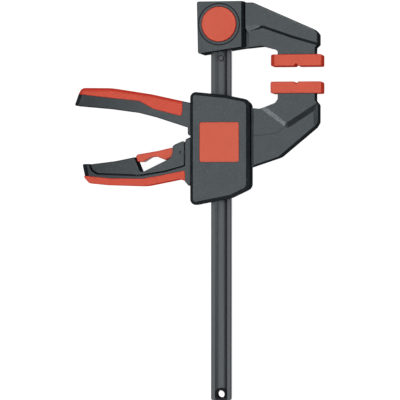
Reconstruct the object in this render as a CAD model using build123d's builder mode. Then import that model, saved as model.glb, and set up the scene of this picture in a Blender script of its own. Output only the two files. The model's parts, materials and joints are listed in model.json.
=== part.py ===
"""Quick release bar clamp, lying on its back. Millimetres.

+X runs from the rail towards the tips of the jaws, +Y along the rail towards the fixed jaw, +Z out of
the front. The origin is where the lock button's axis, which crosses the rail's own axis, meets the back
of the fixed jaw. The slider's pieces are placed from slider_y, so they follow the opening of the jaws.
"""

from math import cos, radians, sin, tan
import os

from build123d import *

# ---- Driving sizes ----

# Rail
rail_width = 17.6
rail_thickness = 6.4
rail_groove_width = 10.8
rail_groove_depth = 1.4
rail_edge_radius = 0.9
rail_top_y = 11.0
rail_bottom_y = -323.8
rail_corner_radius = 2.5
stop_pin_y = -28.4
stop_pin_radius = 2.5
stop_pin_sink = 0.3
stop_pin_well_radius = 3.3
stop_pin_well_depth = 1.6
end_sleeve_y = -318.0
end_sleeve_radius = 5.1
end_sleeve_bore_radius = 3.2
end_sleeve_stand = 1.2

# Jaws
throat = 79.2
jaw_opening = 13.3
pad_length = 44.0
pad_thickness = 10.0
pad_depth = 23.0
pad_corner_radius = 1.2
pad_edge = 0.8
pad_end_bevel = 3.4
pad_notch_width = 4.0
pad_tongue_length = 26.0
pad_tongue_depth = 13.0
pad_tongue_height = 4.0
neck_length = 31.9
neck_depth = 19.6
neck_slope = 65.0
root_recess = 0.6
arm_depth = 24.0
arm_edge = 1.3
arm_end_bevel = 3.6
fixed_seat_y = -26.1
fixed_recess = 2.2
moving_seat_rise = 0.6

# Fixed jaw block
jaw_half_width = 19.35
jaw_right_x = 22.4
jaw_top_y = 19.7
jaw_bottom_y = -25.3
jaw_bottom_right_y = -19.2
jaw_height = 31.0
jaw_corner_radius = 1.6
jaw_edge = 0.9
jaw_groove_width = 2.6
jaw_groove_depth = 6.0

# Lock button
button_radius = 15.0
button_stand = 2.0
button_travel = 3.2
button_top_thickness = 2.6
button_skirt_height = 6.8
button_skirt_wall = 2.4
button_dish_depth = 0.7
button_gap = 0.25
bezel_groove_radius = 17.7
bezel_groove_width = 0.9
bezel_groove_depth = 1.0
lock_pin_radius = 3.0
lock_pin_waist_radius = 1.9
lock_pin_bottom_z = 9.0
lock_pin_bore_bottom_z = 4.0
lock_pin_bore_radius = 5.6
clip_thickness = 0.9
clip_radius = 4.6
clip_below_rail = 0.6

# Slider block
slider_left_x = -25.3
slider_right_x = 26.4
slider_top_bend_x = 6.0
slider_bottom_bend_x = 10.4
slider_height = 32.0
slider_corner_radius = 5.0
slider_right_radius = 7.0
slider_wall = 3.0
slider_draft = 4.0
slider_back_edge = 2.0
slider_groove_width = 3.1
slider_groove_depth = 7.0
cover_edge = 2.8
cavity_right_x = 19.0
badge_size = 34.2
badge_thickness = 1.2
badge_stand = 0.3
badge_corner_radius = 2.0

# Rail guides in the slider
guide_half_width = 13.0
guide_length = 7.0
guide_depth = 22.0
guide_rib = 1.0
guide_cap = 3.5

# Upper handle and grips
handle_depth = 20.0
grip_depth = 21.0
grip_wall = 2.6
handle_edge = 1.2
handle_tip_x = -128.2
handle_end_bevel = 3.8
grip_edge = 4.5
lip_left_x = -28.1

# Pump lever
pivot_x = -17.5
pivot_pin_radius = 2.5
hub_radius = 5.4
finger_reach = 12.5
finger_depth = 6.0
lever_depth = 20.0
lever_edge = 1.2
insert_edge = 0.8
insert_gap = 1.2
gap_lap = 0.5
gap_strip_depth = 18.4
insert_cheek = 3.0
lever_end_bevel = 4.4
tray_web_depth = 6.0
insert_pin_radius = 1.5
insert_pin_pitch = 16.0
insert_pin_length = 14.0
root_slot_depth = 6.4
lever_swing = 20.0

# Release trigger
trigger_pin_x = -33.8
trigger_pin_radius = 1.4
trigger_hub_radius = 3.0
trigger_pin_length = 15.0
trigger_tail_depth = 5.6
trigger_tail_thickness = 3.0
trigger_edge = 0.9
trigger_swing = 10.0

# Drive and brake plates
plate_side_gap = 2.0
drive_plate_half_length = 15.0
drive_plate_thickness = 2.2
drive_plate_gap = 0.2
brake_plate_thickness = 2.6
brake_hinge_x = 17.0
brake_left_x = -12.5
brake_nose_depth = 5.2
brake_ratio = 0.46
rib_thickness = 1.8

# Screws
screw_radius = 1.5
screw_head_radius = 2.9
screw_head_height = 2.0
screw_length = 26.0
screw_recess = 1.2

# Springs: wire diameter and mean coil radius
rail_spring_wire = 1.0
rail_spring_radius = 10.4
button_spring_wire = 0.9
button_spring_radius = 5.0
trigger_spring_wire = 0.6
trigger_spring_radius = 1.9
trigger_spring_length = 3.2

# Clearances
slide_gap = 0.15
rail_channel_gap = 0.5
pin_gap = 0.05
seat_gap = 0.05
cover_gap = 0.1
contact_gap = 0.15
side_gap = 0.3

# ---- Sizes that follow ----

rail_mid_z = slider_height / 2
rail_front_z = rail_mid_z + rail_thickness / 2
rail_back_z = rail_mid_z - rail_thickness / 2
split_z = rail_front_z + 0.1
pad_outer_x = rail_width / 2 + throat
pad_mid_x = pad_outer_x - pad_length / 2
neck_left_x = pad_mid_x - neck_length / 2
neck_right_x = pad_mid_x + neck_length / 2
slider_y = fixed_seat_y - 2 * pad_thickness - jaw_opening - moving_seat_rise
moving_seat_y = slider_y + moving_seat_rise
arm_top_z = rail_mid_z + arm_depth / 2
neck_recess = (arm_depth - neck_depth) / 2
cavity_floor_z = slider_wall
cavity_roof_z = slider_height - slider_wall
plate_depth = cavity_roof_z - cavity_floor_z - 2 * plate_side_gap
cavity_top_y = slider_y - 17.0
pivot_y = slider_y - 59.0
trigger_pin_y = slider_y - 49.9
trigger_depth = lever_depth - 2 * insert_cheek
trigger_spring_z = rail_mid_z + trigger_depth / 2 - trigger_spring_length - seat_gap
brake_tilt = trigger_swing * brake_ratio
brake_hinge_y = slider_y - 45.5
brake_spring_seat_y = slider_y - 51.0
drive_travel = finger_reach * radians(lever_swing)
drive_top_y = pivot_y - hub_radius - contact_gap
drive_bottom_y = drive_top_y - 2 * drive_plate_thickness - drive_plate_gap
cavity_bottom_y = drive_bottom_y - drive_travel - 4 * rail_spring_wire
lower_guide_top_y = cavity_bottom_y - guide_rib
upper_guide_top_y = slider_y - 6.6
slider_bottom_y = lower_guide_top_y - guide_length - guide_cap
button_top_z = jaw_height + button_stand
well_floor_z = button_top_z - button_skirt_height - button_travel


def outline(points, radius):
    """A closed flat shape through the points, with its corners rounded."""
    with BuildSketch() as shape:
        with BuildLine():
            FilletPolyline(*points, radius=radius, close=True)
        make_face()
    return shape.sketch


def on_slider(points):
    """Points given from the slider's datum, in the part's frame."""
    return [(x, slider_y + y) for x, y in points]


def front_edges(part):
    """The outer edges of a part's highest flat face."""
    return part.faces().filter_by(Axis.Z).sort_by(Axis.Z)[-1].outer_wire().edges()


def back_edges(part):
    """The outer edges of a part's lowest flat face."""
    return part.faces().filter_by(Axis.Z).sort_by(Axis.Z)[0].outer_wire().edges()


def depth_of(shape, depth, edge=0):
    """A flat shape made solid, centred on the rail's depth, with its front and back edges rounded."""
    with BuildPart() as solid:
        with BuildSketch(Plane.XY.offset(rail_mid_z - depth / 2)):
            add(shape)
        extrude(amount=depth)
        if edge > 0:
            fillet(front_edges(solid.part), edge)
            fillet(back_edges(solid.part), edge)
    return solid.part


def coil_spring(base, direction, radius, wire, length, turns):
    """A round-wire compression spring of the given length, standing on base along direction."""
    rise = length - wire
    start = Vector(*base) + Vector(*direction) * (wire / 2)
    with BuildPart() as spring:
        with BuildLine() as path:
            Helix(rise / turns, rise, radius, center=start, direction=direction)
        with BuildSketch(Plane(origin=path.line @ 0, z_dir=path.line % 0)):
            Circle(wire / 2)
        sweep(path=path.line)
    return spring.part


def screws(places):
    """Cover screws with their heads sunk in the back, one at each place."""
    with BuildPart() as group:
        with Locations(*[(x, y, screw_recess) for x, y in places]):
            Cylinder(screw_head_radius, screw_head_height, align=(Align.CENTER, Align.CENTER, Align.MIN))
            Cylinder(screw_radius, screw_length, align=(Align.CENTER, Align.CENTER, Align.MIN))
    return group.part


def screw_holes(places):
    """The holes that the cover screws fill, with a small clearance."""
    with BuildPart() as group:
        with Locations(*places):
            Cylinder(
                screw_head_radius + pin_gap,
                screw_recess + screw_head_height + pin_gap,
                align=(Align.CENTER, Align.CENTER, Align.MIN),
            )
            Cylinder(
                screw_radius + pin_gap,
                screw_recess + screw_length + pin_gap,
                align=(Align.CENTER, Align.CENTER, Align.MIN),
            )
    return group.part


def end_bevel(top, bottom, width, depth):
    """Wedges that bevel the front and back of a handle's end, whose line runs from top down to bottom."""
    lean_x = (bottom[0] - top[0]) / (top[1] - bottom[1])
    reach = 2 * width
    with BuildPart() as wedges:
        with BuildSketch(Plane.XY.offset(rail_mid_z + depth / 2 - width)):
            with BuildLine():
                Polyline(
                    (top[0] - lean_x * reach, top[1] + reach),
                    (bottom[0] + lean_x * reach, bottom[1] - reach),
                    (bottom[0] - reach, bottom[1] - reach),
                    (bottom[0] - reach, top[1] + reach),
                    close=True,
                )
            make_face()
        extrude(amount=width + 1, taper=-45)
        mirror(about=Plane.XY.offset(rail_mid_z))
    return wedges.part


def write(part, name):
    """Label a finished piece and write its STEP file."""
    part.label = name
    export_step(part, f"parts/{name}.step")


os.makedirs("parts", exist_ok=True)

# ---- Rail ----

along_rail = Plane(origin=(0, rail_bottom_y, rail_mid_z), x_dir=(1, 0, 0), z_dir=(0, 1, 0))
groove_radius = (rail_groove_width**2 / 4 + rail_groove_depth**2) / (2 * rail_groove_depth)
groove_centre = rail_thickness / 2 + groove_radius - rail_groove_depth

with BuildPart() as rail:
    with BuildSketch(along_rail):
        Rectangle(rail_width, rail_thickness)
        fillet(vertices(), rail_edge_radius)
        with Locations((0, groove_centre), (0, -groove_centre)):
            Circle(groove_radius, mode=Mode.SUBTRACT)
    extrude(amount=rail_top_y - rail_bottom_y)
    with BuildSketch(Plane.XY):
        with Locations((0, rail_bottom_y)):
            Rectangle(rail_width, rail_top_y - rail_bottom_y, align=(Align.CENTER, Align.MIN))
        fillet(vertices().group_by(Axis.Y)[0], rail_corner_radius)
    extrude(amount=slider_height, mode=Mode.INTERSECT)
    with BuildSketch(Plane.XY):
        Circle(lock_pin_radius + pin_gap)
        with Locations((0, rail_top_y / 2)):
            Rectangle(2 * lock_pin_waist_radius + 2 * slide_gap, rail_top_y)
        with Locations((0, stop_pin_y)):
            Circle(stop_pin_radius + pin_gap)
        with Locations((0, end_sleeve_y)):
            Circle(end_sleeve_radius + pin_gap)
    extrude(amount=slider_height, mode=Mode.SUBTRACT)
    with Locations(
        (0, stop_pin_y, rail_front_z - stop_pin_well_depth / 2),
        (0, stop_pin_y, rail_back_z + stop_pin_well_depth / 2),
    ):
        Cylinder(stop_pin_well_radius, stop_pin_well_depth, mode=Mode.SUBTRACT)
write(rail.part, "rail")

with BuildPart() as stop_pin:
    with Locations((0, stop_pin_y, rail_mid_z)):
        Cylinder(stop_pin_radius, rail_thickness - 2 * stop_pin_sink)
    chamfer(edges().filter_by(GeomType.CIRCLE), 0.5)
write(stop_pin.part, "stop_pin")

with BuildPart() as end_sleeve:
    with Locations((0, end_sleeve_y, rail_mid_z)):
        Cylinder(end_sleeve_radius, rail_thickness + 2 * end_sleeve_stand)
        Cylinder(end_sleeve_bore_radius, slider_height, mode=Mode.SUBTRACT)
    outer = edges().filter_by(GeomType.CIRCLE).group_by(SortBy.RADIUS)[-1]
    fillet(outer, 0.6)
write(end_sleeve.part, "end_sleeve")

# ---- Jaw necks, pads and their tongues ----

neck_end_chamfer_y = 5.6


with BuildPart() as pad_bevels:
    with BuildSketch(Plane.XZ):
        with BuildLine():
            Polyline(
                (pad_mid_x - pad_length / 2, rail_mid_z + pad_depth / 2 - pad_end_bevel),
                (pad_mid_x - pad_length / 2 + pad_end_bevel, rail_mid_z + pad_depth / 2),
                (pad_mid_x - pad_length / 2, rail_mid_z + pad_depth / 2 + pad_end_bevel),
                close=True,
            )
        make_face()
        mirror(about=Plane.XY.offset(rail_mid_z))
    extrude(amount=pad_length, both=True)


def pad(seat_y, facing):
    """A slip-on pad. facing is -1 when its face looks down the rail and 1 when it looks up."""
    face_y = seat_y + facing * pad_thickness
    middle_y = (seat_y + face_y) / 2
    tongue_y = seat_y + facing * pad_tongue_height / 2
    with BuildPart() as body:
        with BuildSketch(Plane.XY.offset(rail_mid_z - pad_depth / 2)):
            with Locations((pad_mid_x, middle_y)):
                Rectangle(pad_length, pad_thickness)
            fillet(vertices(), pad_corner_radius)
            with Locations((pad_mid_x, face_y)):
                Rectangle(pad_notch_width / 2**0.5, pad_notch_width / 2**0.5, 45, mode=Mode.SUBTRACT)
        extrude(amount=pad_depth)
        fillet(front_edges(body.part), pad_edge)
        fillet(back_edges(body.part), pad_edge)
        add(pad_bevels.part, mode=Mode.SUBTRACT)
        with Locations((pad_mid_x, tongue_y, rail_mid_z)):
            Box(
                pad_tongue_length + 2 * seat_gap,
                pad_tongue_height + 2 * seat_gap,
                pad_tongue_depth + 2 * seat_gap,
                mode=Mode.SUBTRACT,
            )
    return body.part


write(pad(fixed_seat_y, -1), "fixed_pad")
write(pad(moving_seat_y, 1), "moving_pad")

# ---- Fixed jaw ----

jaw_screw_places = [(-15.0, 14.5), (15.0, 14.5), (-14.0, -17.5), (14.5, -15.0)]
jaw_block_outline = outline(
    [
        (-jaw_half_width, jaw_top_y),
        (jaw_right_x, jaw_top_y),
        (jaw_right_x, jaw_bottom_right_y),
        (jaw_half_width, jaw_bottom_right_y - 0.5),
        (1 - jaw_half_width, jaw_bottom_y),
    ],
    [jaw_corner_radius, jaw_corner_radius, 0, jaw_corner_radius, jaw_corner_radius],
)
fixed_arm_outline = outline(
    [
        (jaw_half_width - 2, 18.6),
        (29.0, 18.6),
        (81.7, -4.9),
        (84.8, -8.5),
        (84.8, -17.6),
        (neck_right_x, -20.2),
        (neck_right_x, fixed_seat_y),
        (neck_left_x, fixed_seat_y),
        (neck_left_x, -23.2),
        (46.6, -21.2),
        (36.5, -18.5),
        (24.0, -19.8),
        (jaw_half_width - 2, -20.2),
    ],
    [0, 3, 2.5, 2.5, 2, 2, 0, 0, 2, 4, 4, 2, 0],
)
fixed_neck_region = outline(
    [
        (10.0, -6.1),
        (25.8, -6.1),
        (37.2, -3.4),
        (61.2, -11.9),
        (90.0, -20.4),
        (90.0, -40.0),
        (10.0, -40.0),
    ],
    [0, 2, 2, 4, 0, 0, 0],
)
root_wedge_right_x = 35.0
root_wedge_top_y = -0.7
root_wedge_foot_y = -6.1

with BuildPart() as fixed_neck_cut:
    with BuildSketch(Plane.XY.offset(arm_top_z - fixed_recess)):
        add(fixed_neck_region)
    extrude(amount=fixed_recess + 1, taper=-45)
    with BuildSketch(Plane.YZ.offset(jaw_half_width)):
        with BuildLine():
            Polyline(
                (root_wedge_top_y, arm_top_z),
                (root_wedge_foot_y, arm_top_z - fixed_recess),
                (root_wedge_foot_y, arm_top_z + 1),
                (root_wedge_top_y, arm_top_z + 1),
                close=True,
            )
        make_face()
    extrude(amount=root_wedge_right_x - jaw_half_width)
    mirror(about=Plane.XY.offset(rail_mid_z))

with BuildPart() as jaw_groove:
    with BuildSketch(Plane.XY.offset(arm_top_z - jaw_groove_depth)):
        with BuildLine():
            Polyline(
                (jaw_half_width, root_wedge_top_y),
                (jaw_right_x, root_wedge_top_y - 2.8),
                (jaw_right_x + jaw_groove_width, root_wedge_top_y - 7.1),
                (jaw_right_x + jaw_groove_width, -40),
                (jaw_half_width, -40),
                close=True,
            )
        make_face()
    extrude(amount=jaw_groove_depth + 1)

with BuildPart() as fixed_jaw_body:
    add(depth_of(fixed_arm_outline, arm_depth, arm_edge))
    add(fixed_neck_cut.part, mode=Mode.SUBTRACT)
    add(jaw_groove.part, mode=Mode.SUBTRACT)
    with Locations((pad_mid_x, fixed_seat_y - pad_tongue_height / 2 + 1, rail_mid_z)):
        Box(pad_tongue_length, pad_tongue_height + 2, pad_tongue_depth)
    with BuildSketch(Plane.XY.offset(split_z)):
        add(jaw_block_outline)
        offset(amount=cover_gap)
    extrude(amount=jaw_height, mode=Mode.SUBTRACT)
    with BuildSketch(Plane.XY):
        add(jaw_block_outline)
    extrude(amount=split_z)
    with BuildSketch(Plane.XY.offset(rail_back_z - slide_gap)):
        with Locations((0, rail_top_y + slide_gap)):
            Rectangle(rail_width + 2 * slide_gap, 80, align=(Align.CENTER, Align.MAX))
    extrude(amount=rail_thickness + 1, mode=Mode.SUBTRACT)
    with BuildSketch(Plane.XY.offset(lock_pin_bore_bottom_z)):
        Circle(lock_pin_bore_radius)
    extrude(amount=rail_back_z, mode=Mode.SUBTRACT)
    add(screw_holes(jaw_screw_places), mode=Mode.SUBTRACT)
write(fixed_jaw_body.part, "fixed_jaw_body")

with BuildPart() as fixed_jaw_cover:
    with BuildSketch(Plane.XY.offset(split_z)):
        add(jaw_block_outline)
    extrude(amount=jaw_height - split_z)
    fillet(front_edges(fixed_jaw_cover.part), jaw_edge)
    with BuildSketch(Plane.XZ):
        with BuildLine():
            Polyline(
                (jaw_half_width, jaw_height + 1),
                (jaw_half_width, jaw_height),
                (jaw_right_x, split_z + 1),
                (jaw_right_x + 2, split_z + 1),
                (jaw_right_x + 2, jaw_height + 1),
                close=True,
            )
        make_face()
    extrude(amount=2 * jaw_half_width, both=True, mode=Mode.SUBTRACT)
    with BuildSketch(Plane.XY.offset(well_floor_z)):
        Circle(button_radius + button_gap)
    extrude(amount=jaw_height, mode=Mode.SUBTRACT)
    with BuildSketch(Plane.XY.offset(jaw_height - bezel_groove_depth)):
        Circle(bezel_groove_radius + bezel_groove_width / 2)
        Circle(bezel_groove_radius - bezel_groove_width / 2, mode=Mode.SUBTRACT)
    extrude(amount=bezel_groove_depth, mode=Mode.SUBTRACT)
    Cylinder(lock_pin_radius + pin_gap, 2 * slider_height, mode=Mode.SUBTRACT)
    add(screw_holes(jaw_screw_places), mode=Mode.SUBTRACT)
write(fixed_jaw_cover.part, "fixed_jaw_cover")
write(screws(jaw_screw_places), "fixed_jaw_screws")

# ---- Lock button, pin, clip and spring ----

collar_top_z = rail_mid_z + rail_thickness / 2 - rail_groove_depth + 0.4
waist_top_z = collar_top_z + 4.8
clip_z = rail_back_z - clip_below_rail - clip_thickness

with BuildPart() as lock_button:
    with BuildSketch(Plane.XY.offset(button_top_z - button_skirt_height)):
        Circle(button_radius)
    extrude(amount=button_skirt_height)
    fillet(edges().filter_by(GeomType.CIRCLE).group_by(Axis.Z)[-1], 1.0)
    with BuildSketch(Plane.XY.offset(button_top_z - button_skirt_height)):
        Circle(button_radius - button_skirt_wall)
        Circle(lock_pin_radius + 1.2, mode=Mode.SUBTRACT)
    extrude(amount=button_skirt_height - button_top_thickness, mode=Mode.SUBTRACT)
    dish_rim = button_radius - 2.0
    dish_radius = (dish_rim**2 + button_dish_depth**2) / (2 * button_dish_depth)
    with Locations((0, 0, button_top_z - button_dish_depth + dish_radius)):
        Sphere(dish_radius, mode=Mode.SUBTRACT)
    with BuildSketch(Plane.XY.offset(button_top_z - button_skirt_height)):
        Circle(lock_pin_radius + 0.01)
    extrude(amount=button_skirt_height - 1.5, mode=Mode.SUBTRACT)
write(lock_button.part, "lock_button")

with BuildPart() as lock_pin:
    with BuildSketch(Plane.XY.offset(lock_pin_bottom_z)):
        Circle(lock_pin_radius)
    extrude(amount=button_top_z - 1.5 - seat_gap - lock_pin_bottom_z)
    chamfer(edges().filter_by(GeomType.CIRCLE), 0.3)
    with BuildSketch(Plane.XY.offset(collar_top_z)):
        Circle(lock_pin_radius + 1)
        Circle(lock_pin_waist_radius, mode=Mode.SUBTRACT)
    extrude(amount=waist_top_z - collar_top_z, mode=Mode.SUBTRACT)
    with BuildSketch(Plane.XY.offset(clip_z - seat_gap)):
        Circle(lock_pin_radius + 1)
        Circle(lock_pin_radius - 0.6, mode=Mode.SUBTRACT)
    extrude(amount=clip_thickness + 2 * seat_gap, mode=Mode.SUBTRACT)
write(lock_pin.part, "lock_pin")

with BuildPart() as lock_pin_clip:
    with BuildSketch(Plane.XY.offset(clip_z)):
        Circle(clip_radius)
        Circle(lock_pin_radius - 0.6 + seat_gap, mode=Mode.SUBTRACT)
        with Locations((0, -clip_radius)):
            Rectangle(3.6, 2 * clip_radius, mode=Mode.SUBTRACT)
    extrude(amount=clip_thickness)
write(lock_pin_clip.part, "lock_pin_clip")

button_spring_length = button_top_z - button_top_thickness - well_floor_z - contact_gap
write(
    coil_spring(
        (0, 0, well_floor_z), (0, 0, 1), button_spring_radius, button_spring_wire, button_spring_length, 3.5
    ),
    "button_spring",
)

# ---- Slider: outlines ----

slider_outline = outline(
    [
        (slider_left_x, slider_y + 2.6),
        (slider_top_bend_x, slider_y - 0.75),
        (slider_right_x, slider_y - 4.95),
        (slider_right_x, slider_bottom_y + 7.6),
        (slider_bottom_bend_x, slider_bottom_y),
        (slider_left_x, slider_bottom_y - 7.1),
    ],
    [slider_corner_radius, 12, slider_right_radius, slider_right_radius, 12, slider_corner_radius],
)
moving_arm_right_x = 84.8
moving_arm_outline = outline(
    on_slider(
        [
            (cavity_right_x + 2, -11.0),
            (34.6, -12.6),
            (neck_left_x - 2.4, -7.6),
            (neck_left_x, -4.4),
            (neck_left_x, moving_seat_rise),
            (neck_right_x, moving_seat_rise),
            (neck_right_x, -neck_end_chamfer_y),
            (moving_arm_right_x, -9.0),
            (moving_arm_right_x, -24.2),
            (82.2, -28.5),
            (51.5, -54.1),
            (27.0, -62.3),
            (cavity_right_x + 2, -64.4),
        ]
    ),
    [0, 6, 2, 2, 0, 0, 2, 2.5, 3, 3, 8, 6, 0],
)
moving_neck_region = outline(
    on_slider([(38.0, 20), (38.0, -9.9), (57.0, -24.2), (58.4, -24.2), (88.0, -5.0), (88.0, 20)]),
    [0, 2, 0.5, 0.5, 0, 0],
)
moving_root_region = outline(
    on_slider([(10, 20), (10, -37.2), (43.1, -34.7), (50.8, -33.0), (58.0, -26.5), (58.0, 20)]),
    [0, 0, 20, 4, 0, 0],
)
handle_end_top = (handle_tip_x + 3.6, 1.4)
handle_end_bottom = (handle_tip_x, -8.8)
handle_outline = outline(
    on_slider(
        [
            (slider_left_x + 2, -7.6),
            (-60.0, 0.6),
            (-95.0, 6.2),
            (handle_tip_x + 6.6, 6.6),
            handle_end_top,
            handle_end_bottom,
            (-98.0, -11.6),
            (-72.0, -15.2),
            (-56.0, -19.3),
            (slider_left_x + 2, -29.9),
        ]
    ),
    [0, 60, 60, 4.5, 6, 1.3, 60, 30, 30, 0],
)
grip_blank = outline(
    on_slider(
        [
            (slider_left_x + 2, -7.6),
            (-60.0, 0.6),
            (-95.0, 6.2),
            (handle_tip_x + 6.6, 6.6),
            handle_end_top,
            (2 * handle_end_bottom[0] - handle_end_top[0], 2 * handle_end_bottom[1] - handle_end_top[1]),
            (slider_left_x + 2, -40.0),
        ]
    ),
    [0, 60, 60, 5, 6, 0, 0],
)
lip_outline = outline(
    on_slider(
        [
            (slider_left_x + 2, -24.0),
            (lip_left_x, -24.0),
            (lip_left_x, -35.2),
            (slider_left_x + 2, -35.2),
        ]
    ),
    [0, 0, 2, 0],
)
handle_grip_region = outline(
    on_slider(
        [
            (handle_tip_x - 2, 1.8),
            (-95.8, -2.4),
            (-70.5, -5.2),
            (-57.5, -12.3),
            (-33.8, -18.4),
            (-32.7, -14.5),
            (-32.6, 14),
            (handle_tip_x - 2, 14),
        ]
    ),
    [0, 20, 8, 8, 1, 1, 0, 0],
)


with BuildSketch() as handle_tongue_shape:
    add(handle_outline)
    offset(amount=-grip_wall, kind=Kind.INTERSECTION)
handle_tongue = depth_of(handle_tongue_shape.sketch, handle_depth - 2 * grip_wall)

with BuildPart() as moving_neck_cut:
    with BuildSketch(Plane.XY.offset(arm_top_z - neck_recess)):
        add(moving_neck_region)
    extrude(amount=neck_recess + 1, taper=-neck_slope)
    mirror(about=Plane.XY.offset(rail_mid_z))

with BuildPart() as moving_root_cut:
    with BuildSketch(Plane.XY.offset(arm_top_z - root_recess)):
        add(moving_root_region)
    extrude(amount=root_recess + 1)
    mirror(about=Plane.XY.offset(rail_mid_z))

with BuildPart() as arm_end_cut:
    with BuildSketch(Plane.XZ.offset(-slider_y)):
        with BuildLine():
            Polyline(
                (moving_arm_right_x - arm_end_bevel, arm_top_z),
                (moving_arm_right_x + arm_end_bevel, arm_top_z - arm_end_bevel),
                (moving_arm_right_x + arm_end_bevel, arm_top_z + 1),
                (moving_arm_right_x - arm_end_bevel, arm_top_z + 1),
                close=True,
            )
        make_face()
    extrude(amount=slider_y - pivot_y)
    mirror(about=Plane.XY.offset(rail_mid_z))

with BuildPart() as slider_groove:
    with BuildSketch(Plane.XY.offset(arm_top_z - slider_groove_depth)):
        with Locations((slider_right_x - 1, slider_y)):
            Rectangle(
                slider_groove_width + 1,
                2 * (slider_y - cavity_bottom_y),
                align=(Align.MIN, Align.CENTER),
            )
    extrude(amount=slider_groove_depth + 1)

# ---- Slider: the hollow that the mechanism works in, and the guides' seats ----

opening_top_y = slider_y - 35.4
slider_screw_places = [
    (-18.0, slider_y - 5.4),
    (18.8, slider_y - 12.6),
    (-17.8, slider_bottom_y + 3.2),
    (17.8, slider_bottom_y + 8.8),
]

with BuildPart() as slider_hollow:
    with BuildSketch(Plane.XY.offset(cavity_floor_z)):
        with Locations(((slider_left_x + slider_wall + cavity_right_x) / 2, cavity_top_y)):
            Rectangle(
                cavity_right_x - slider_left_x - slider_wall,
                cavity_top_y - cavity_bottom_y,
                align=(Align.CENTER, Align.MAX),
            )
        fillet(vertices(), 1.5)
    extrude(amount=cavity_roof_z - cavity_floor_z)
    with BuildSketch(Plane.XY.offset(rail_mid_z - lever_depth / 2 - 2 * side_gap)):
        with Locations((slider_left_x - 1, opening_top_y)):
            Rectangle(
                slider_wall + 3,
                opening_top_y - cavity_bottom_y,
                align=(Align.MIN, Align.MAX),
            )
    extrude(amount=lever_depth + 4 * side_gap)
    with BuildSketch(Plane.XY.offset(rail_mid_z - guide_depth / 2)):
        with Locations((0, upper_guide_top_y), (0, lower_guide_top_y)):
            Rectangle(
                2 * guide_half_width + 2 * seat_gap,
                guide_length + 2 * seat_gap,
                align=(Align.CENTER, Align.MAX),
            )
    extrude(amount=guide_depth)
    with BuildSketch(Plane.XY.offset(rail_back_z - rail_channel_gap)):
        with Locations((0, slider_y)):
            Rectangle(rail_width + 2 * rail_channel_gap, 240)
    extrude(amount=split_z - rail_back_z + rail_channel_gap)

rib_seat_y = brake_hinge_y - brake_plate_thickness / 2 - contact_gap
with BuildPart() as slider_ribs:
    with BuildSketch(Plane.XY.offset(cavity_floor_z)):
        with Locations((cavity_right_x, brake_spring_seat_y)):
            Rectangle(cavity_right_x - 1.5, rib_thickness, align=(Align.MAX, Align.MAX))
        with Locations((cavity_right_x, rib_seat_y)):
            Rectangle(4.0, rib_seat_y - brake_spring_seat_y, align=(Align.MAX, Align.MAX))
        with Locations((cavity_right_x, brake_hinge_y + brake_plate_thickness / 2 + contact_gap)):
            Rectangle(3.0, rib_thickness, align=(Align.MAX, Align.MIN))
    extrude(amount=rail_back_z - rail_channel_gap - cavity_floor_z)
    mirror(about=Plane.XY.offset((cavity_floor_z + cavity_roof_z) / 2))

with BuildPart() as pivot_bosses:
    with BuildSketch(Plane.XY.offset(cavity_floor_z)):
        with Locations((pivot_x, pivot_y)):
            Circle(hub_radius - 0.6)
    extrude(amount=rail_mid_z - lever_depth / 2 - side_gap - cavity_floor_z)
    mirror(about=Plane.XY.offset((cavity_floor_z + cavity_roof_z) / 2))

pivot_pin_bottom_z = slider_wall / 2
pivot_pin_top_z = cavity_roof_z + 1.0
with BuildPart() as pivot_pin_hole:
    with BuildSketch(Plane.XY.offset(pivot_pin_bottom_z)):
        with Locations((pivot_x, pivot_y)):
            Circle(pivot_pin_radius + 0.02)
    extrude(amount=pivot_pin_top_z - pivot_pin_bottom_z)

with BuildPart() as below_split:
    with BuildSketch(Plane.XY.offset(-1)):
        with Locations((0, slider_y)):
            Rectangle(400, 400)
    extrude(amount=split_z + 1)

# ---- Slider housing, with the moving jaw's arm and the handle ----

with BuildPart() as housing_shell:
    with BuildSketch(Plane.XY.offset(split_z)):
        add(slider_outline)
    extrude(amount=-split_z, taper=slider_draft)
    chamfer(back_edges(housing_shell.part), slider_back_edge)

with BuildPart() as slider_housing:
    add(depth_of(moving_arm_outline, arm_depth, arm_edge))
    add(arm_end_cut.part, mode=Mode.SUBTRACT)
    add(moving_root_cut.part, mode=Mode.SUBTRACT)
    add(moving_neck_cut.part, mode=Mode.SUBTRACT)
    add(slider_groove.part, mode=Mode.SUBTRACT)
    with Locations((pad_mid_x, moving_seat_y + pad_tongue_height / 2 - 1, rail_mid_z)):
        Box(pad_tongue_length, pad_tongue_height + 2, pad_tongue_depth)
    add(depth_of(handle_outline, handle_depth, handle_edge))
    add(
        end_bevel(*on_slider([handle_end_top, handle_end_bottom]), handle_end_bevel, handle_depth),
        mode=Mode.SUBTRACT,
    )
    add(depth_of(handle_grip_region, slider_height), mode=Mode.SUBTRACT)
    add(handle_tongue)
    add(depth_of(lip_outline, handle_depth, handle_edge))
    with BuildSketch(Plane.XY.offset(split_z)):
        add(slider_outline)
        offset(amount=cover_gap)
    extrude(amount=slider_height, mode=Mode.SUBTRACT)
    add(housing_shell.part)
    add(slider_hollow.part, mode=Mode.SUBTRACT)
    add(slider_ribs.part & below_split.part)
    add(pivot_bosses.part & below_split.part)
    add(pivot_pin_hole.part, mode=Mode.SUBTRACT)
    add(screw_holes(slider_screw_places), mode=Mode.SUBTRACT)
write(slider_housing.part, "slider_housing")

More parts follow.
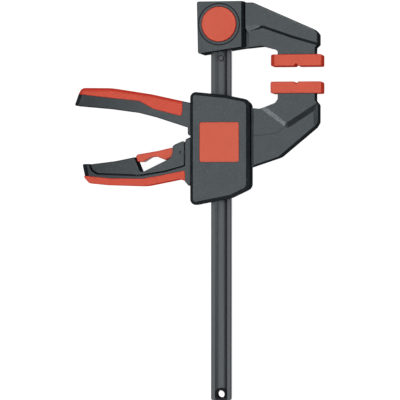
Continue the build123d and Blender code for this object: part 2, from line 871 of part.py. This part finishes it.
with BuildPart() as slider_cover:
    with BuildSketch(Plane.XY.offset(split_z)):
        add(slider_outline)
    extrude(amount=slider_height - split_z)
    chamfer(front_edges(slider_cover.part), cover_edge)
    with BuildSketch(Plane.XY.offset(slider_height - badge_thickness + badge_stand)):
        with Locations((0.3, slider_y - 41.1)):
            RectangleRounded(badge_size + 2 * cover_gap, badge_size + 2 * cover_gap, badge_corner_radius)
    extrude(amount=badge_thickness, mode=Mode.SUBTRACT)
    add(slider_hollow.part, mode=Mode.SUBTRACT)
    add(slider_ribs.part - below_split.part)
    add(pivot_bosses.part - below_split.part)
    add(pivot_pin_hole.part, mode=Mode.SUBTRACT)
    add(screw_holes(slider_screw_places), mode=Mode.SUBTRACT)
write(slider_cover.part, "slider_cover")
write(screws(slider_screw_places), "cover_screws")

with BuildPart() as badge_plate:
    with BuildSketch(Plane.XY.offset(slider_height - badge_thickness + badge_stand)):
        with Locations((0.3, slider_y - 41.1)):
            RectangleRounded(badge_size, badge_size, badge_corner_radius - cover_gap)
    extrude(amount=badge_thickness)
    chamfer(front_edges(badge_plate.part), 0.3)
write(badge_plate.part, "badge_plate")

with BuildPart() as handle_grip:
    add(depth_of(grip_blank, grip_depth, grip_edge))
    add(depth_of(handle_grip_region, slider_height), mode=Mode.INTERSECT)
    add(handle_tongue, mode=Mode.SUBTRACT)
write(handle_grip.part, "handle_grip")


def rail_guide(top_y):
    """A bush that closes round the rail, seated in the slider from top_y down."""
    with BuildPart() as guide:
        with Locations((0, top_y - seat_gap, rail_mid_z)):
            Box(
                2 * guide_half_width,
                guide_length,
                guide_depth - 2 * seat_gap,
                align=(Align.CENTER, Align.MAX, Align.CENTER),
            )
            Box(
                rail_width + 2 * slide_gap,
                guide_length,
                rail_thickness + 2 * slide_gap,
                align=(Align.CENTER, Align.MAX, Align.CENTER),
                mode=Mode.SUBTRACT,
            )
    return guide.part


write(rail_guide(upper_guide_top_y), "upper_guide")
write(rail_guide(lower_guide_top_y), "lower_guide")

with BuildPart() as lever_pivot_pin:
    with Locations((pivot_x, pivot_y, pivot_pin_bottom_z + seat_gap)):
        Cylinder(
            pivot_pin_radius,
            pivot_pin_top_z - pivot_pin_bottom_z - 2 * seat_gap,
            align=(Align.CENTER, Align.CENTER, Align.MIN),
        )
write(lever_pivot_pin.part, "lever_pivot_pin")

# ---- Pump lever ----

lever_end_top = (-121.4, -59.5)
lever_end_bottom = (-118.9, -71.5)
lever_outline = outline(
    on_slider(
        [
            lever_end_top,
            (-113.0, -59.5),
            (-30.0, -38.5),
            (-26.5, -36.8),
            (-21.6, -39.0),
            (-20.2, -42.5),
            (-13.2, -55.0),
            (-13.2, -62.0),
            (-21.5, -65.0),
            (-26.4, -79.8),
            (-31.2, -73.9),
            (-36.0, -73.0),
            (-66.0, -79.0),
            (-98.0, -78.0),
            (-114.6, -76.3),
            lever_end_bottom,
        ]
    ),
    [1.3, 0, 0, 1.5, 1.5, 2, 1.5, 1.5, 2, 1.3, 2, 6, 40, 20, 4, 3],
)
insert_outline = outline(
    on_slider(
        [
            (-113.7, -59.8),
            (-111.8, -64.9),
            (-107.4, -67.6),
            (-70.0, -69.1),
            (-48.0, -65.6),
            (-31.0, -60.8),
            (-31.0, -39.3),
            (-39.3, -42.8),
            (-43.0, -46.0),
            (-74.0, -53.6),
            (-92.0, -57.2),
        ]
    ),
    [1.5, 2, 4, 20, 20, 1.5, 1.5, 2, 2, 4, 20],
)
window_region = outline(
    on_slider(
        [
            (-74.9, -40),
            (-74.8, -54.5),
            (-70.1, -66.0),
            (-67.6, -66.6),
            (-43.6, -54.9),
            (-41.2, -51.0),
            (-41.4, -36),
        ]
    ),
    [0, 0, 1.2, 1.2, 1.5, 2, 0],
)
lever_grip_region = outline(
    on_slider(
        [
            (-130.0, -69.2),
            (-118.2, -69.8),
            (-96.0, -72.0),
            (-68.0, -72.3),
            (-52.0, -69.6),
            (-31.0, -65.4),
            (-30.4, -67.0),
            (-30.4, -84.0),
            (-130.0, -84.0),
        ]
    ),
    [0, 1, 20, 20, 10, 1, 0.5, 0, 0],
)

with BuildSketch() as pocket_shape:
    add(insert_outline)
    with BuildLine():
        Polyline(
            *on_slider([(-113.7, -60.2), (-31.0, -60.2), (-31.0, -28), (-113.7, -28)]),
            close=True,
        )
    make_face()
    offset(amount=insert_gap)

with BuildSketch() as insert_seat_shape:
    add(insert_outline)
    offset(amount=seat_gap)
with BuildSketch() as gap_floor_shape:
    add(insert_outline)
    offset(amount=insert_gap + gap_lap)
    add(insert_seat_shape.sketch, mode=Mode.SUBTRACT)
    with BuildLine():
        Polyline(
            *on_slider([(-130.0, -60.5), (-20.0, -60.5), (-20.0, -20.0), (-130.0, -20.0)]),
            close=True,
        )
    make_face(mode=Mode.SUBTRACT)

with BuildSketch() as lever_tongue_shape:
    add(lever_outline)
    add(pocket_shape.sketch, mode=Mode.SUBTRACT)
    with BuildLine():
        Polyline(
            *on_slider([(-31.0, -30), (-31.0, -90), (-5.0, -90), (-5.0, -30)]),
            close=True,
        )
    make_face(mode=Mode.SUBTRACT)
with BuildSketch() as lever_core_shape:
    add(lever_outline)
    offset(amount=-grip_wall, kind=Kind.INTERSECTION)
    add(lever_tongue_shape.sketch, mode=Mode.INTERSECT)
lever_tongue = depth_of(lever_core_shape.sketch, lever_depth - 2 * grip_wall)
lever_pocket = depth_of(pocket_shape.sketch, slider_height)

web_region = outline(
    on_slider([(-108.0, -61.5), (-78.0, -61.5), (-78.0, -74.0), (-108.0, -74.0)]), [1, 1, 0, 0]
)
gap_strip_region = outline(
    on_slider([(-30.6, -61.0), (-29.6, -61.0), (-29.6, -40.0), (-30.6, -40.0)]), [0, 0, 0, 0]
)
insert_pin_places = on_slider([(-101.0, -65.2), (-101.0 + insert_pin_pitch, -65.2)])


def back_pins(radius, length):
    """The insert's pins, or the blind holes for them, driven in from the back."""
    with BuildPart() as pins:
        with Locations(*[(x, y, rail_mid_z - lever_depth / 2 + insert_edge) for x, y in insert_pin_places]):
            Cylinder(radius, length, align=(Align.CENTER, Align.CENTER, Align.MIN))
    return pins.part


with BuildPart() as root_slot:
    with BuildSketch(Plane.XY.offset(rail_mid_z - root_slot_depth / 2)):
        with BuildLine():
            Polyline(
                *on_slider([(-33.0, -30), (-33.0, -55), (-22.0, -55), (-10.0, -48), (-10.0, -30)]),
                close=True,
            )
        make_face()
    extrude(amount=root_slot_depth)

with BuildPart() as lever_shell:
    add(depth_of(lever_outline, lever_depth, lever_edge))
    add(
        end_bevel(*on_slider([lever_end_top, lever_end_bottom]), lever_end_bevel, lever_depth),
        mode=Mode.SUBTRACT,
    )
    add(lever_pocket, mode=Mode.SUBTRACT)
    add(depth_of(lever_grip_region, slider_height), mode=Mode.SUBTRACT)
    add(lever_tongue)
    with BuildSketch(Plane.XY.offset(rail_mid_z - tray_web_depth / 2)):
        add(web_region)
        add(gap_floor_shape.sketch)
    extrude(amount=tray_web_depth)
    add(depth_of(gap_strip_region, gap_strip_depth))
    with BuildSketch(Plane.XY.offset(rail_mid_z - lever_depth / 2)):
        with Locations((pivot_x, pivot_y)):
            Circle(hub_radius)
    extrude(amount=lever_depth)
    with BuildSketch(Plane.XY.offset(rail_mid_z - lever_depth / 2)):
        with Locations((pivot_x + finger_reach / 2, pivot_y)):
            SlotCenterToCenter(finger_reach, 2 * hub_radius)
    extrude(amount=finger_depth)
    with BuildSketch(Plane.XY.offset(rail_mid_z + lever_depth / 2)):
        with Locations((pivot_x + finger_reach / 2, pivot_y)):
            SlotCenterToCenter(finger_reach, 2 * hub_radius)
    extrude(amount=-finger_depth)
    add(root_slot.part, mode=Mode.SUBTRACT)
    with Locations((pivot_x, pivot_y, rail_mid_z)):
        Cylinder(pivot_pin_radius + pin_gap, slider_height, mode=Mode.SUBTRACT)
    add(back_pins(insert_pin_radius + pin_gap, insert_pin_length + pin_gap), mode=Mode.SUBTRACT)
write(lever_shell.part, "lever_shell")

with BuildPart() as lever_insert:
    add(depth_of(insert_outline, lever_depth - 0.6, insert_edge))
    add(depth_of(window_region, slider_height), mode=Mode.SUBTRACT)
    with BuildSketch(Plane.XY.offset(rail_mid_z - trigger_depth / 2 - side_gap)):
        with BuildLine():
            Polyline(*on_slider([(-45.0, -30), (-45.0, -56.2), (-28.0, -56.2), (-28.0, -30)]), close=True)
        make_face()
    extrude(amount=trigger_depth + 2 * side_gap, mode=Mode.SUBTRACT)
    with BuildSketch(Plane.XY.offset(rail_mid_z - tray_web_depth / 2 - seat_gap)):
        add(web_region)
        offset(amount=2 * seat_gap, kind=Kind.INTERSECTION)
    extrude(amount=tray_web_depth + 2 * seat_gap, mode=Mode.SUBTRACT)
    add(back_pins(insert_pin_radius + pin_gap, insert_pin_length + pin_gap), mode=Mode.SUBTRACT)
    with Locations((trigger_pin_x, trigger_pin_y, rail_mid_z)):
        Cylinder(trigger_pin_radius + 0.02, slider_height, mode=Mode.SUBTRACT)
write(lever_insert.part, "lever_insert")
write(back_pins(insert_pin_radius, insert_pin_length), "insert_pins")

with BuildPart() as trigger_pin:
    with Locations((trigger_pin_x, trigger_pin_y, rail_mid_z)):
        Cylinder(trigger_pin_radius, trigger_pin_length)
write(trigger_pin.part, "trigger_pin")

with BuildPart() as lever_grip:
    add(depth_of(lever_outline, grip_depth, lever_edge))
    add(depth_of(lever_grip_region, slider_height), mode=Mode.INTERSECT)
    add(lever_pocket, mode=Mode.SUBTRACT)
    add(lever_tongue, mode=Mode.SUBTRACT)
write(lever_grip.part, "lever_grip")

# ---- Release trigger ----

trigger_outline = outline(
    on_slider(
        [
            (-74.1, -53.2),
            (-72.6, -51.3),
            (-54.0, -48.2),
            (-43.6, -45.7),
            (-34.0, -45.7),
            (-34.0, -54.2),
            (-43.0, -54.0),
            (-47.6, -56.4),
            (-55.6, -53.2),
            (-61.0, -53.7),
            (-67.6, -57.8),
            (-72.6, -57.8),
        ]
    ),
    [1, 1.5, 8, 4, 0, 0, 2, 1.5, 4, 4, 1.5, 1.2],
)
brake_lean = radians(brake_tilt)
nose_tip_x = -21.0
nose_top_y = brake_hinge_y + (brake_hinge_x - nose_tip_x) * tan(brake_lean) + brake_plate_thickness / 2 / cos(
    brake_lean
)
tail_end_y = nose_top_y + side_gap + seat_gap

with BuildPart() as release_trigger:
    add(depth_of(trigger_outline, trigger_depth, trigger_edge))
    with Locations((trigger_pin_x, trigger_pin_y, rail_mid_z)):
        Cylinder(trigger_hub_radius, trigger_depth)
    with BuildSketch(Plane.XY.offset(rail_mid_z - trigger_tail_depth / 2)):
        with BuildLine():
            FilletPolyline(
                (trigger_pin_x - 1.6, trigger_pin_y + 2.4),
                (nose_tip_x - 8.6, tail_end_y + 0.8),
                (nose_tip_x - 6.0, tail_end_y + trigger_tail_thickness),
                (nose_tip_x + 0.6, tail_end_y + trigger_tail_thickness),
                (nose_tip_x + 1.8, tail_end_y + trigger_tail_thickness / 2),
                (nose_tip_x + 1.2, tail_end_y),
                (nose_tip_x - 5.6, tail_end_y),
                (trigger_pin_x + 2.6, trigger_pin_y + 0.4),
                radius=[0, 1, 1, 0.5, 0.5, 0.3, 1, 0],
                close=True,
            )
        make_face()
    extrude(amount=trigger_tail_depth)
    with Locations((trigger_pin_x, trigger_pin_y, rail_mid_z)):
        Cylinder(trigger_pin_radius + pin_gap, slider_height, mode=Mode.SUBTRACT)
    with BuildSketch(Plane.XY.offset(trigger_spring_z - seat_gap)):
        with Locations((trigger_pin_x, trigger_pin_y)):
            Circle(trigger_spring_radius + trigger_spring_wire / 2 + side_gap)
    extrude(amount=trigger_spring_length + 1, mode=Mode.SUBTRACT)
write(release_trigger.part, "release_trigger")

write(
    coil_spring(
        (trigger_pin_x, trigger_pin_y, trigger_spring_z),
        (0, 0, 1),
        trigger_spring_radius,
        trigger_spring_wire,
        trigger_spring_length,
        4,
    ),
    "trigger_spring",
)

# ---- Brake plate ----

brake_plane = Plane(
    origin=(brake_hinge_x, brake_hinge_y, rail_mid_z),
    x_dir=(-cos(brake_lean), sin(brake_lean), 0),
    z_dir=(sin(brake_lean), cos(brake_lean), 0),
)
brake_length = (brake_hinge_x - brake_left_x) / cos(brake_lean)
nose_length = (brake_hinge_x - nose_tip_x) / cos(brake_lean)
slot_middle = brake_hinge_x / cos(brake_lean)
slot_length = rail_width / cos(brake_lean) + 2 * rail_channel_gap

with BuildPart() as brake_plate:
    with BuildSketch(brake_plane.offset(-brake_plate_thickness / 2)):
        Rectangle(brake_length, plate_depth, align=(Align.MIN, Align.CENTER))
        Rectangle(nose_length, brake_nose_depth, align=(Align.MIN, Align.CENTER))
        with Locations((slot_middle, 0)):
            Rectangle(slot_length, rail_thickness + 2 * rail_channel_gap, mode=Mode.SUBTRACT)
    extrude(amount=brake_plate_thickness)
    with Locations((brake_hinge_x, brake_hinge_y, rail_mid_z)):
        Cylinder(brake_plate_thickness / 2, plate_depth)
write(brake_plate.part, "brake_plate")

brake_spring_length = brake_hinge_y - brake_plate_thickness - brake_spring_seat_y + 0.9
write(
    coil_spring(
        (0, brake_spring_seat_y, rail_mid_z),
        (0, 1, 0),
        rail_spring_radius,
        rail_spring_wire,
        brake_spring_length,
        1.75,
    ),
    "brake_spring",
)

# ---- Drive plates ----


def drive_plate(top_y):
    """One gripping plate square to the rail, with its upper face at top_y."""
    with BuildPart() as plate:
        with Locations((0, top_y, rail_mid_z)):
            Box(
                2 * drive_plate_half_length,
                drive_plate_thickness,
                plate_depth,
                align=(Align.CENTER, Align.MAX, Align.CENTER),
            )
            Box(
                rail_width + 2 * rail_channel_gap,
                drive_plate_thickness,
                rail_thickness + 2 * rail_channel_gap,
                align=(Align.CENTER, Align.MAX, Align.CENTER),
                mode=Mode.SUBTRACT,
            )
    return plate.part


write(drive_plate(drive_top_y), "drive_plate_upper")
write(drive_plate(drive_top_y - drive_plate_thickness - drive_plate_gap), "drive_plate_lower")
write(
    coil_spring(
        (0, cavity_bottom_y, rail_mid_z),
        (0, 1, 0),
        rail_spring_radius,
        rail_spring_wire,
        drive_bottom_y - cavity_bottom_y - contact_gap,
        2.5,
    ),
    "drive_spring",
)
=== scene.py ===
"""Quick release bar clamp: its finish, soft pieces and springs, the studio and the camera.

Metres, in the frame of the solids: +X towards the tips of the jaws, +Y along the rail towards the fixed
jaw, +Z out of the front. The clamp lies on its back on the floor at Z = 0.
"""

import json
from math import cos, pi, radians, sin

import bmesh
import bpy
from mathutils import Matrix, Vector


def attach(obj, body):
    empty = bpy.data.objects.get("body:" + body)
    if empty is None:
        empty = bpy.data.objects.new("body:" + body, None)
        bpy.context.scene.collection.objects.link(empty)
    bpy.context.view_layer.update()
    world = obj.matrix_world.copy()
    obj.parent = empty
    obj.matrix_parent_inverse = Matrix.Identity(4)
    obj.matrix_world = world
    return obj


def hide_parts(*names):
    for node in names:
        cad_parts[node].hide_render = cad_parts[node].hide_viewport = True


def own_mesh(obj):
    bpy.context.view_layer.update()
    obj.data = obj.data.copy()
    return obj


MM = 0.001

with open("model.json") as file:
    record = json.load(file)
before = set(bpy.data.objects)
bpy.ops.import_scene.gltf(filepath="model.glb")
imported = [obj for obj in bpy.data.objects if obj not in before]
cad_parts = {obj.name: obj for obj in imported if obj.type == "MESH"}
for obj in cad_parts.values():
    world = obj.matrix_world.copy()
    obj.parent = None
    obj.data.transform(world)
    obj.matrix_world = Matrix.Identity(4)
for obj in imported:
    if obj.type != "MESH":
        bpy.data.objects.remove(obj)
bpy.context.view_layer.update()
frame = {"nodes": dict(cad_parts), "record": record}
nodes = frame["nodes"]
scene = bpy.context.scene

# ---- Camera ----

VIEW_YAW = radians(9.3)
VIEW_DISTANCE = 2.2
VIEW_WIDTH = 0.3452
VIEW_CENTRE = Vector((-0.0184, -0.15074, 0.0190))
VIEW_DEPTH = 50
SENSOR = 36.0

towards_camera = Vector((sin(VIEW_YAW), 0, cos(VIEW_YAW)))
screen_right = Vector((0, 1, 0)).cross(towards_camera).normalized()
screen_up = towards_camera.cross(screen_right)
camera_data = bpy.data.cameras.new("camera")
camera_data.sensor_width = SENSOR
camera_data.lens = SENSOR * VIEW_DISTANCE / VIEW_WIDTH
camera_data.clip_end = VIEW_DEPTH
camera = bpy.data.objects.new("camera", camera_data)
turn = Matrix((screen_right, screen_up, towards_camera)).transposed().to_4x4()
camera.matrix_world = Matrix.Translation(VIEW_CENTRE + towards_camera * VIEW_DISTANCE) @ turn
scene.collection.objects.link(camera)
scene.camera = camera

# ---- Studio ----

STUDIO_MIDDLE = Vector((0, -0.12, 0.016))
SKY_TINT = (0.9, 0.95, 1, 1)
SKY_STRENGTH = 0.08

scene.view_settings.view_transform = "Standard"


def softbox(name, bearing, distance, size, radiance):
    """A square soft light that far from the clamp's middle along a bearing, aimed back at it."""
    data = bpy.data.lights.new(name, "AREA")
    data.shape = "SQUARE"
    data.size = size
    data.energy = radiance * pi * size**2
    light = bpy.data.objects.new(name, data)
    light.location = STUDIO_MIDDLE + Vector(bearing).normalized() * distance
    light.rotation_euler = Vector(bearing).to_track_quat("Z", "Y").to_euler()
    scene.collection.objects.link(light)


softbox("front", bearing=(-0.16, -0.03, 1), distance=2.2, size=2.3, radiance=2.2)
softbox("below", bearing=(-0.1, -0.76, 0.65), distance=1.5, size=0.8, radiance=6)
softbox("upper_right", bearing=(0.29, 0.64, 0.71), distance=1.6, size=0.7, radiance=11)
softbox("right", bearing=(0.66, 0.05, 0.75), distance=1.6, size=0.6, radiance=2.5)

world = bpy.data.worlds.new("studio")
world.use_nodes = True
world.node_tree.nodes["Background"].inputs["Color"].default_value = SKY_TINT
world.node_tree.nodes["Background"].inputs["Strength"].default_value = SKY_STRENGTH
scene.world = world

# ---- Materials ----

# Sizes in mm.
EDGE_RADIUS = 0.35
GROOVE_REACH = 3
ROUGH_PATCH = 3
SPECK_SIZE = 0.9

# Ends of the ranges that are spread over a mix: of a noise, of a noise's peaks and, for the painted shade,
# of a normal's share of depth (wall to face), of a point's openness (groove to open), and of X in metres
# (handle's tip to root).
NOISE_MIDDLE = (0.3, 0.7)
NOISE_PEAKS = (0.62, 0.7)
PAINTED_SHADE_WALL_TO_FACE = (0.70, 0.93)
PAINTED_SHADE_GROOVE_TO_OPEN = (0.35, 0.85)
PAINTED_SHADE_TIP_TO_ROOT = (-0.115, -0.055)

SMOOTH_SAMPLES = 4
SHADE_SAMPLES = 8


def material(name, tints, roughness, rough_spread, grain, grain_height, **more):
    """A finish made from noise in the piece's own coordinates, with painted shade on side walls, in
    grooves and towards the handles' tips.

    The two tints mix in soft patches; grain is the texture's size and grain_height its height, in mm.
    """
    made = bpy.data.materials.new(name)
    made.use_nodes = True
    nt = made.node_tree
    shader = nt.nodes["Principled BSDF"]
    place = nt.nodes.new("ShaderNodeTexCoord")
    stretch = nt.nodes.new("ShaderNodeMapping")
    stretch.inputs["Scale"].default_value = more.get("stretch", (1, 1, 1))
    nt.links.new(place.outputs["Object"], stretch.inputs["Vector"])

    def noise(size, detail, rough=0.55):
        node = nt.nodes.new("ShaderNodeTexNoise")
        node.inputs["Scale"].default_value = 1 / (size * MM)
        node.inputs["Detail"].default_value = detail
        node.inputs["Roughness"].default_value = rough
        nt.links.new(stretch.outputs["Vector"], node.inputs["Vector"])
        return node.outputs["Fac"]

    def spread(source, low, high, ends=NOISE_MIDDLE):
        node = nt.nodes.new("ShaderNodeMapRange")
        node.inputs["From Min"].default_value = ends[0]
        node.inputs["From Max"].default_value = ends[1]
        node.inputs["To Min"].default_value = low
        node.inputs["To Max"].default_value = high
        nt.links.new(source, node.inputs["Value"])
        return node.outputs["Result"]

    def times(first, second):
        node = nt.nodes.new("ShaderNodeMath")
        node.operation = "MULTIPLY"
        nt.links.new(first, node.inputs[0])
        nt.links.new(second, node.inputs[1])
        return node.outputs["Value"]

    def mix(factor, first, second):
        node = nt.nodes.new("ShaderNodeMix")
        node.data_type = "RGBA"
        for socket, value in (("Factor", factor), ("A", first), ("B", second)):
            slot = [s for s in node.inputs if s.name == socket and s.enabled][0]
            if isinstance(value, tuple):
                slot.default_value = (*value, 1)
            else:
                nt.links.new(value, slot)
        return [s for s in node.outputs if s.enabled][0]

    def along(vector, axis):
        node = nt.nodes.new("ShaderNodeSeparateXYZ")
        nt.links.new(vector, node.inputs["Vector"])
        return node.outputs[axis]

    colour = mix(spread(noise(more.get("patch", 14), 3), 0, 1), *tints)
    if "speck" in more:
        dots = spread(noise(SPECK_SIZE, 1), 0, more["speck_share"], NOISE_PEAKS)
        colour = mix(dots, colour, more["speck"])
    nt.links.new(colour, shader.inputs["Base Color"])

    # Painted shade: side walls, told by the share of their normal along Z, shine less than the faces.
    depth_share = nt.nodes.new("ShaderNodeMath")
    depth_share.operation = "ABSOLUTE"
    nt.links.new(along(place.outputs["Normal"], "Z"), depth_share.inputs[0])
    painted_shade_wall_shine, face_shine = more.get("painted_shade_wall_shine", 0.5), more.get("specular", 0.5)
    shine = spread(depth_share.outputs["Value"], painted_shade_wall_shine, face_shine, PAINTED_SHADE_WALL_TO_FACE)
    # Painted shade: grooves and inner corners, found by ambient occlusion, shine less as well.
    shade = nt.nodes.new("ShaderNodeAmbientOcclusion")
    shade.samples = SHADE_SAMPLES
    shade.only_local = True
    shade.inputs["Distance"].default_value = GROOVE_REACH * MM
    shine = times(shine, spread(shade.outputs["AO"], more.get("painted_shade_groove_shine", 0.1), 1, PAINTED_SHADE_GROOVE_TO_OPEN))
    # Painted shade: the handles shine less towards their tips.
    if "painted_shade_tip_shine" in more:
        across = along(place.outputs["Object"], "X")
        shine = times(shine, spread(across, more["painted_shade_tip_shine"], 1, PAINTED_SHADE_TIP_TO_ROOT))
    nt.links.new(shine, shader.inputs["Specular IOR Level"])

    rough = spread(noise(ROUGH_PATCH, 4), roughness - rough_spread, roughness + rough_spread)
    nt.links.new(rough, shader.inputs["Roughness"])

    rounded = nt.nodes.new("ShaderNodeBevel")
    rounded.samples = SMOOTH_SAMPLES
    rounded.inputs["Radius"].default_value = EDGE_RADIUS * MM
    bump = nt.nodes.new("ShaderNodeBump")
    bump.inputs["Strength"].default_value = 1
    bump.inputs["Distance"].default_value = grain_height * MM
    nt.links.new(noise(grain, 3, 0.6), bump.inputs["Height"])
    nt.links.new(rounded.outputs["Normal"], bump.inputs["Normal"])
    nt.links.new(bump.outputs["Normal"], shader.inputs["Normal"])

    shader.inputs["Metallic"].default_value = more.get("metallic", 0)
    # Painted tint of the reflections.
    shader.inputs["Specular Tint"].default_value = (*more.get("glint", (1, 1, 1)), 1)
    return made


# Painted tint of the reflections: the studio's sheen is tinted cool on the dark pieces and warm on the red
# ones.
COOL_PLASTIC_GLINT = (0.86, 0.95, 1)
COOL_STEEL_GLINT = (0.88, 0.96, 1)
WARM_GLINT = (1, 0.88, 0.62)

# Slot: two tints, roughness and its spread, grain and its height in mm, and what else sets it apart.
# The shine left on walls, in grooves and at the handles' tips is painted shade; the glint is a painted
# tint of the reflections.
LOOKS = {
    "body_plastic": (
        ((0.012, 0.015, 0.017), (0.009, 0.011, 0.013)), 0.36, 0.06, 0.8, 0.09,
        dict(
            speck=(0.05, 0.055, 0.06), speck_share=0.6, painted_shade_wall_shine=0, painted_shade_tip_shine=0.5,
            glint=COOL_PLASTIC_GLINT,
        ),
    ),
    "rail_steel": (
        ((0.014, 0.015, 0.017), (0.010, 0.011, 0.013)), 0.30, 0.05, 0.5, 0.006,
        dict(
            stretch=(1, 0.04, 1), patch=6, specular=0.62, painted_shade_wall_shine=0.4, painted_shade_groove_shine=0.8,
            glint=COOL_STEEL_GLINT,
        ),
    ),
    "soft_grip": (
        ((0.40, 0.028, 0.015), (0.37, 0.024, 0.013)), 0.50, 0.06, 0.35, 0.03,
        dict(painted_shade_wall_shine=0, patch=9, glint=WARM_GLINT),
    ),
    "pad": (
        ((0.40, 0.036, 0.020), (0.37, 0.032, 0.018)), 0.48, 0.06, 0.4, 0.03,
        dict(painted_shade_wall_shine=0, patch=9, glint=WARM_GLINT),
    ),
    "button_plastic": (
        ((0.40, 0.036, 0.020), (0.37, 0.032, 0.018)), 0.40, 0.05, 0.6, 0.012,
        dict(painted_shade_wall_shine=0.1, patch=9, glint=WARM_GLINT),
    ),
    "badge": (
        ((0.39, 0.042, 0.024), (0.37, 0.039, 0.022)), 0.42, 0.05, 0.8, 0.01,
        dict(patch=9, glint=WARM_GLINT),
    ),
    "pin_steel": (
        ((0.060, 0.062, 0.066), (0.045, 0.047, 0.050)), 0.35, 0.08, 0.3, 0.01, dict(metallic=1),
    ),
    "screw_steel": (
        ((0.20, 0.20, 0.21), (0.15, 0.15, 0.16)), 0.38, 0.08, 0.3, 0.01, dict(metallic=1),
    ),
    "spring_steel": (
        ((0.42, 0.42, 0.43), (0.34, 0.34, 0.36)), 0.30, 0.08, 0.2, 0.01, dict(metallic=1),
    ),
    "plate_steel": (
        ((0.32, 0.32, 0.33), (0.26, 0.26, 0.27)), 0.36, 0.08, 0.4, 0.012, dict(metallic=1),
    ),
    "guide_plastic": (
        ((0.62, 0.62, 0.58), (0.57, 0.57, 0.54)), 0.45, 0.06, 0.5, 0.02, dict(),
    ),
    "sleeve": (
        ((0.006, 0.006, 0.007), (0.004, 0.004, 0.005)), 0.34, 0.05, 0.4, 0.012,
        dict(specular=0.06, painted_shade_wall_shine=0, painted_shade_groove_shine=0),
    ),
}
finish = {name: material(name, *look, **more) for name, (*look, more) in LOOKS.items()}


def dress(piece, slot):
    """Give a piece the finish of its slot."""
    piece.data.materials.clear()
    piece.data.materials.append(finish[slot])


slot_of = {part["node"]: part["material_slot"] for part in frame["record"]["subparts"]}
for name, node in nodes.items():
    for holder in node.material_slots:
        holder.material = finish[slot_of[name]]

# ---- Soft pieces ----

PAD_VOXEL = 0.3
GRIP_VOXEL = 0.35
ROUNDING_STEPS = 3
ROUNDING_SHARE = 0.5
WELD_REACH = 1e-6


def baked(piece):
    """The piece's mesh with its modifiers applied."""
    shown = bpy.context.evaluated_depsgraph_get()
    mesh = bpy.data.meshes.new_from_object(piece.evaluated_get(shown))
    piece.modifiers.clear()
    piece.data = mesh


def moulded(node, name, body, slot, voxel):
    """A soft moulding in its solid's own space, with its edges rounded over."""
    mesh = nodes[node].data.copy()
    shape = bmesh.new()
    shape.from_mesh(mesh)
    bmesh.ops.remove_doubles(shape, verts=shape.verts, dist=WELD_REACH)
    shape.to_mesh(mesh)
    shape.free()
    piece = bpy.data.objects.new(name, mesh)
    scene.collection.objects.link(piece)
    remesh = piece.modifiers.new("remesh", "REMESH")
    remesh.mode = "VOXEL"
    remesh.voxel_size = voxel * MM
    smooth = piece.modifiers.new("smooth", "SMOOTH")
    smooth.factor = ROUNDING_SHARE
    smooth.iterations = ROUNDING_STEPS
    baked(piece)
    for face in piece.data.polygons:
        face.use_smooth = True
    dress(piece, slot)
    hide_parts(node)
    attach(piece, body)


moulded("fixed_pad", "rubber_pad_fixed", "bar", "pad", PAD_VOXEL)
moulded("moving_pad", "rubber_pad_moving", "slider", "pad", PAD_VOXEL)
moulded("handle_grip", "soft_grip_upper", "slider", "soft_grip", GRIP_VOXEL)
moulded("lever_grip", "soft_grip_lower", "pump_lever", "soft_grip", GRIP_VOXEL)

# ---- Springs ----


def sprung(node, name, body):
    """A spring in its solid's own space, attached to its body with a mesh of its own."""
    piece = bpy.data.objects.new(name, nodes[node].data.copy())
    scene.collection.objects.link(piece)
    dress(piece, "spring_steel")
    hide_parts(node)
    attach(piece, body)
    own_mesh(piece)


sprung(
    "button_spring", "coil_under_button", "bar"
)
sprung(
    "drive_spring", "coil_under_plates", "slider"
)

# ---- Floor: it glows softly, so that the clamp casts hardly any shadow on it ----

FLOOR_REACH = 3
FLOOR_Z = -0.0002
FLOOR_TINT = (0.1, 0.1, 0.1, 1)
FLOOR_ROUGHNESS = 0.9
FLOOR_SHINE = 0.1
FLOOR_GLOW = 0.96

floor_mesh = bpy.data.meshes.new("floor")
corners = ((-1, -1), (1, -1), (1, 1), (-1, 1))
floor_mesh.from_pydata(
    [(x * FLOOR_REACH, y * FLOOR_REACH, FLOOR_Z) for x, y in corners], [], [(0, 1, 2, 3)]
)
floor = bpy.data.objects.new("floor", floor_mesh)
scene.collection.objects.link(floor)
floor_material = bpy.data.materials.new("floor")
floor_material.use_nodes = True
floor_shader = floor_material.node_tree.nodes["Principled BSDF"]
floor_shader.inputs["Base Color"].default_value = FLOOR_TINT
floor_shader.inputs["Roughness"].default_value = FLOOR_ROUGHNESS
floor_shader.inputs["Specular IOR Level"].default_value = FLOOR_SHINE
floor_shader.inputs["Emission Color"].default_value = (1, 1, 1, 1)
floor_shader.inputs["Emission Strength"].default_value = FLOOR_GLOW
floor_mesh.materials.append(floor_material)
